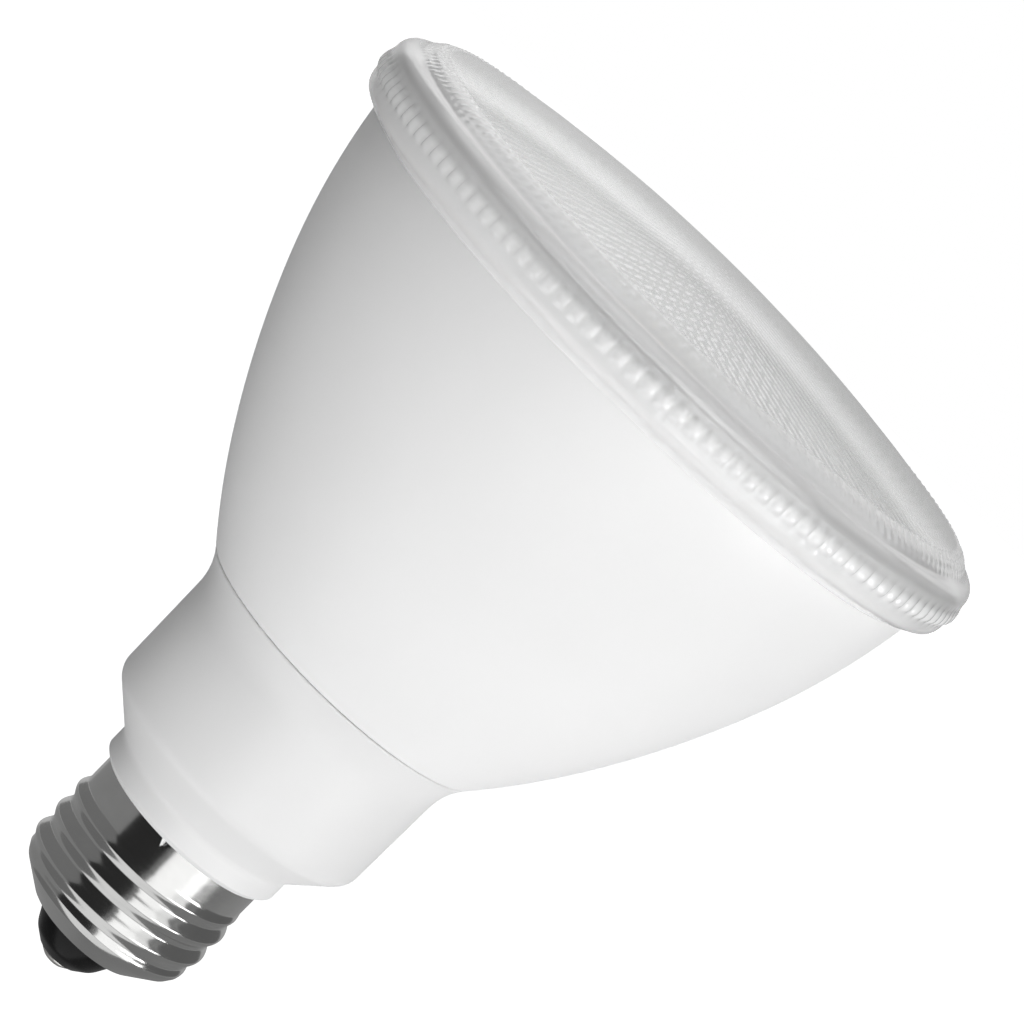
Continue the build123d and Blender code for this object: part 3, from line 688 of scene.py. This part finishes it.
def parabolaRun(lowRadius, topRadius, lowZ, topZ, steps):
    run = []
    for step in range(steps + 1):
        radius = lowRadius + (topRadius - lowRadius) * step / steps
        rise = (topZ - lowZ) * (radius**2 - lowRadius**2) / (topRadius**2 - lowRadius**2)
        run.append((radius, lowZ + rise))
    return run


def makeReflector():
    piece = startPiece("reflectorDish")
    low, top, wall = dish["lowRadius"], dish["topRadius"], dish["wall"]
    outline = parabolaRun(low, top, dish["lowZ"], dish["flangeTop"], dish["curveSteps"])
    outline += [(dish["flangeRadius"], dish["flangeTop"]), (dish["flangeRadius"], dish["ledge"])]
    outline += reversed(parabolaRun(low + wall, top + wall, dish["lowZ"], dish["ledge"], dish["curveSteps"]))
    spinProfile(outline, dish["turnSteps"])
    smoothSides(piece, dish["smoothAngle"])
    finishPiece(piece, "reflector", finishes["bright_reflector"])


makeReflector()


# CAD nodes that stay take their finish from the record's slots

keptNodes = {
    "lens_seal": "grey_rubber", "heat_sink": "bare_aluminium", "thermal_pad": "grey_rubber",
    "led_board": "white_board", "led_emitters": "led_phosphor", "board_screws": "zinc_steel",
    "driver_board": "green_board", "transformer_core": "ferrite", "transformer_coil": "yellow_tape",
    "bulk_capacitor": "dark_sleeve", "output_capacitor": "dark_sleeve", "film_capacitor": "yellow_tape",
    "bridge_rectifier": "black_epoxy", "choke": "ferrite", "fusible_resistor": "blue_lacquer",
    "varistor": "blue_lacquer", "controller_chip": "black_epoxy", "line_lead": "black_wire",
    "neutral_lead": "white_wire", "led_positive_lead": "red_wire", "led_negative_lead": "black_wire",
}
for nodeName, slotName in keptNodes.items():
    nodes[nodeName].data.materials.clear()
    nodes[nodeName].data.materials.append(finishes[slotName])
print("dressed", len(keptNodes), "CAD nodes")


# Floor, world and lamps: a white sweep, a large low soft box in front, smaller ones at the right, above and
# behind, and cards round the lamp that only its reflections show

studio = dict(
    floorZ=-0.6, floorSize=14.0, floorColor="#d8d8d8", floorGlow=0.93,
    fill=0.2, throughGlow=1.35,  # world as matt surfaces see it, and as it shows through the lens
    frontGlow=0.2, frontEnd=-0.3, backStart=0.4,  # world in reflections, from the front to the back
    backGlow=((-0.4, 0.25), (-0.15, 0.5), (0.0, 0.5), (0.12, 0.58),  # direction's rise and brightness there
              (0.24, 0.95), (0.3, 0.62), (0.36, 0.82), (0.5, 1.0)),
    sideGlow=(1.12, 0.9), sideSpan=0.06,  # left and right share of it
    aim=(0.0, 0.0, 0.07),
    # azimuth, elevation, distance, width, height, watts
    lamps=dict(softBoxFront=(15.0, -21.0, 1.15, 0.9, 0.5, 9.2),
               softBoxSide=(104.0, 2.0, 1.15, 0.6, 0.6, 5.2),
               softBoxHigh=(-100.0, 72.0, 1.2, 0.8, 0.8, 4.2),
               softBoxTop=(-30.0, 64.0, 1.0, 0.7, 0.7, 1.7),
               softBoxBack=(160.0, -18.0, 1.15, 0.9, 0.5, 5.0)),
    # first and last azimuth, lowest and highest elevation, brightness
    cards=dict(darkFront=(-46, 6, -30, 60, 0.03), footFront=(-52, 66, -89, -30, 1.0),
               brightRight=(14, 48, -30, 45, 1.5), rimRight=(48, 80, -13, 0, 5.0),
               brightLow=(48, 66, -30, -13, 1.5), brightHigh=(48, 66, 0, 45, 1.2),
               greyRight=(66, 150, -89, -13, 0.25), darkRight=(80, 150, -13, 45, 0.15),
               lowLeft=(-150, -52, -89, -40, 0.2), greyLeft=(-150, -46, -40, -8, 0.29),
               highLeft=(-150, -46, -8, 45, 0.22)),
    cardDistance=1.6, cardSteps=24, cardRows=6,
)


def makeFloor():
    bpy.ops.object.select_all(action="DESELECT")
    bpy.ops.mesh.primitive_plane_add(size=studio["floorSize"], location=(0, 0, studio["floorZ"]))
    floorPlane = bpy.context.object
    floorPlane.name = "paleFloor"
    floorPlane.visible_glossy = False
    material, tree = newMaterial("palePaintedFloor")  # matt white paint
    path = addNode(tree, "ShaderNodeLightPath")
    mirrored = addNode(tree, "ShaderNodeMath", {"operation": "MAXIMUM"}, {
        0: path.outputs["Is Glossy Ray"], 1: path.outputs["Is Transmission Ray"]})
    seen = addNode(tree, "ShaderNodeMath", {"operation": "MAXIMUM"}, {
        0: path.outputs["Is Camera Ray"], 1: mirrored.outputs[0]})
    glow = addNode(tree, "ShaderNodeMath", {"operation": "MULTIPLY"}, {
        0: seen.outputs[0], 1: studio["floorGlow"]})
    shader = addNode(tree, "ShaderNodeBsdfPrincipled", inputs={
        "Base Color": hexColor(studio["floorColor"]), "Roughness": 0.9,
        "Emission Color": (1, 1, 1, 1), "Emission Strength": glow.outputs[0]})
    addNode(tree, "ShaderNodeOutputMaterial", inputs={"Surface": shader.outputs["BSDF"]})
    floorPlane.data.materials.append(material)


def makeWorld():
    world = bpy.data.worlds.new("whiteStudio")
    bpy.context.scene.world = world
    world.use_nodes = True
    tree = world.node_tree
    tree.nodes.clear()
    path = addNode(tree, "ShaderNodeLightPath")
    direction = addNode(tree, "ShaderNodeTexCoord").outputs["Generated"]
    parts = addNode(tree, "ShaderNodeSeparateXYZ", inputs={"Vector": direction})
    height = addNode(tree, "ShaderNodeMapRange", inputs={"Value": parts.outputs["Z"], "From Min": -1.0})
    climb = addNode(tree, "ShaderNodeValToRGB", inputs={"Fac": height.outputs["Result"]})
    stops = climb.color_ramp.elements
    while len(stops) < len(studio["backGlow"]):
        stops.new(1.0)
    for stop, (rise, level) in zip(stops, studio["backGlow"]):
        stop.position = (rise + 1) / 2
        stop.color = (level, level, level, 1)
    leftGlow, rightGlow = studio["sideGlow"]
    sideways = addNode(tree, "ShaderNodeMapRange", inputs={
        "Value": parts.outputs["X"], "From Min": -studio["sideSpan"], "From Max": studio["sideSpan"],
        "To Min": leftGlow, "To Max": rightGlow})
    backdrop = addNode(tree, "ShaderNodeMath", {"operation": "MULTIPLY"}, {
        0: climb.outputs["Color"], 1: sideways.outputs["Result"]})
    behind = addNode(tree, "ShaderNodeMapRange", inputs={
        "Value": parts.outputs["Y"], "From Min": studio["frontEnd"], "From Max": studio["backStart"],
        "To Min": studio["frontGlow"], "To Max": backdrop.outputs[0]})
    mirrored = addNode(tree, "ShaderNodeMix", {"data_type": "FLOAT"}, {
        0: path.outputs["Is Glossy Ray"], 2: studio["fill"], 3: behind.outputs["Result"]})
    through = addNode(tree, "ShaderNodeMix", {"data_type": "FLOAT"}, {
        0: path.outputs["Is Transmission Ray"], 2: mirrored.outputs[0], 3: studio["throughGlow"]})
    shown = addNode(tree, "ShaderNodeMix", {"data_type": "FLOAT"}, {
        0: path.outputs["Is Camera Ray"], 2: through.outputs[0], 3: 1.0})
    glow = addNode(tree, "ShaderNodeBackground", inputs={
        "Color": (1, 1, 1, 1), "Strength": shown.outputs[0]})
    addNode(tree, "ShaderNodeOutputWorld", inputs={"Surface": glow.outputs["Background"]})


def towards(azimuth, elevation):
    # azimuth from the camera's side towards the right, elevation upwards
    around, above = radians(azimuth), radians(elevation)
    return Vector((sin(around) * cos(above), -cos(around) * cos(above), sin(above)))


def makeLamps():
    for name, (azimuth, elevation, distance, width, height, power) in studio["lamps"].items():
        away = towards(azimuth, elevation)
        bpy.ops.object.select_all(action="DESELECT")
        bpy.ops.object.light_add(type="AREA", location=Vector(studio["aim"]) + away * distance,
                                 rotation=away.to_track_quat("Z", "Y").to_euler())
        softBox = bpy.context.object
        softBox.name = name
        softBox.visible_glossy = False
        softBox.data.shape = "RECTANGLE"
        softBox.data.size = width
        softBox.data.size_y = height
        softBox.data.energy = power


def makeCards():
    # curved cards round the lamp, each between two azimuths and two elevations
    for name, (first, last, low, high, level) in studio["cards"].items():
        card = startPiece(name)
        rise = max(1, (high - low) // studio["cardRows"])
        rim = [towards(first, elevation) * studio["cardDistance"]
               for elevation in range(low, high + 1, rise)]
        bpy.ops.transform.translate(value=rim[0])
        for before, after in zip(rim, rim[1:]):
            bpy.ops.mesh.extrude_region_move(TRANSFORM_OT_translate={"value": after - before})
        bpy.ops.mesh.select_all(action="SELECT")
        bpy.ops.mesh.spin(steps=studio["cardSteps"], angle=-radians(last - first),
                          center=(0, 0, 0), axis=(0, 0, 1))
        bpy.ops.transform.translate(value=studio["aim"])
        bpy.ops.object.mode_set(mode="OBJECT")
        material, tree = newMaterial(name + "Card")  # plain card of one brightness
        glow = addNode(tree, "ShaderNodeEmission", inputs={"Color": (1, 1, 1, 1), "Strength": level})
        addNode(tree, "ShaderNodeOutputMaterial", inputs={"Surface": glow.outputs["Emission"]})
        card.data.materials.append(material)
        card.visible_camera = False
        card.visible_diffuse = False
        card.visible_transmission = False
        card.visible_shadow = False


makeFloor()
makeWorld()
makeLamps()
makeCards()
print("studio set")


# Camera: a long lens a little above the lamp, rolled so that the lamp leans to the right

view = dict(place=(0.0, -0.5109, 0.1717), pitch=-10.16, yaw=0.16, roll=44.75, focal=152.05, sensor=36.0,
            nearest=0.01, farthest=20.0)


def makeCamera():
    pitch, yaw, roll = radians(view["pitch"]), radians(view["yaw"]), radians(view["roll"])
    forward = Vector((sin(yaw) * cos(pitch), cos(yaw) * cos(pitch), sin(pitch)))
    level = forward.cross(Vector((0, 0, 1))).normalized()
    upright = level.cross(forward)
    right = level * cos(roll) + upright * sin(roll)
    up = upright * cos(roll) - level * sin(roll)
    bpy.ops.object.select_all(action="DESELECT")
    bpy.ops.object.camera_add(location=view["place"])
    camera = bpy.context.object
    camera.name = "photoCamera"
    camera.rotation_euler = Matrix((right, up, -forward)).transposed().to_euler()
    camera.data.lens = view["focal"]
    camera.data.sensor_width = view["sensor"]
    camera.data.clip_start = view["nearest"]
    camera.data.clip_end = view["farthest"]
    bpy.context.scene.camera = camera


makeCamera()
bpy.context.scene.view_settings.view_transform = "Standard"
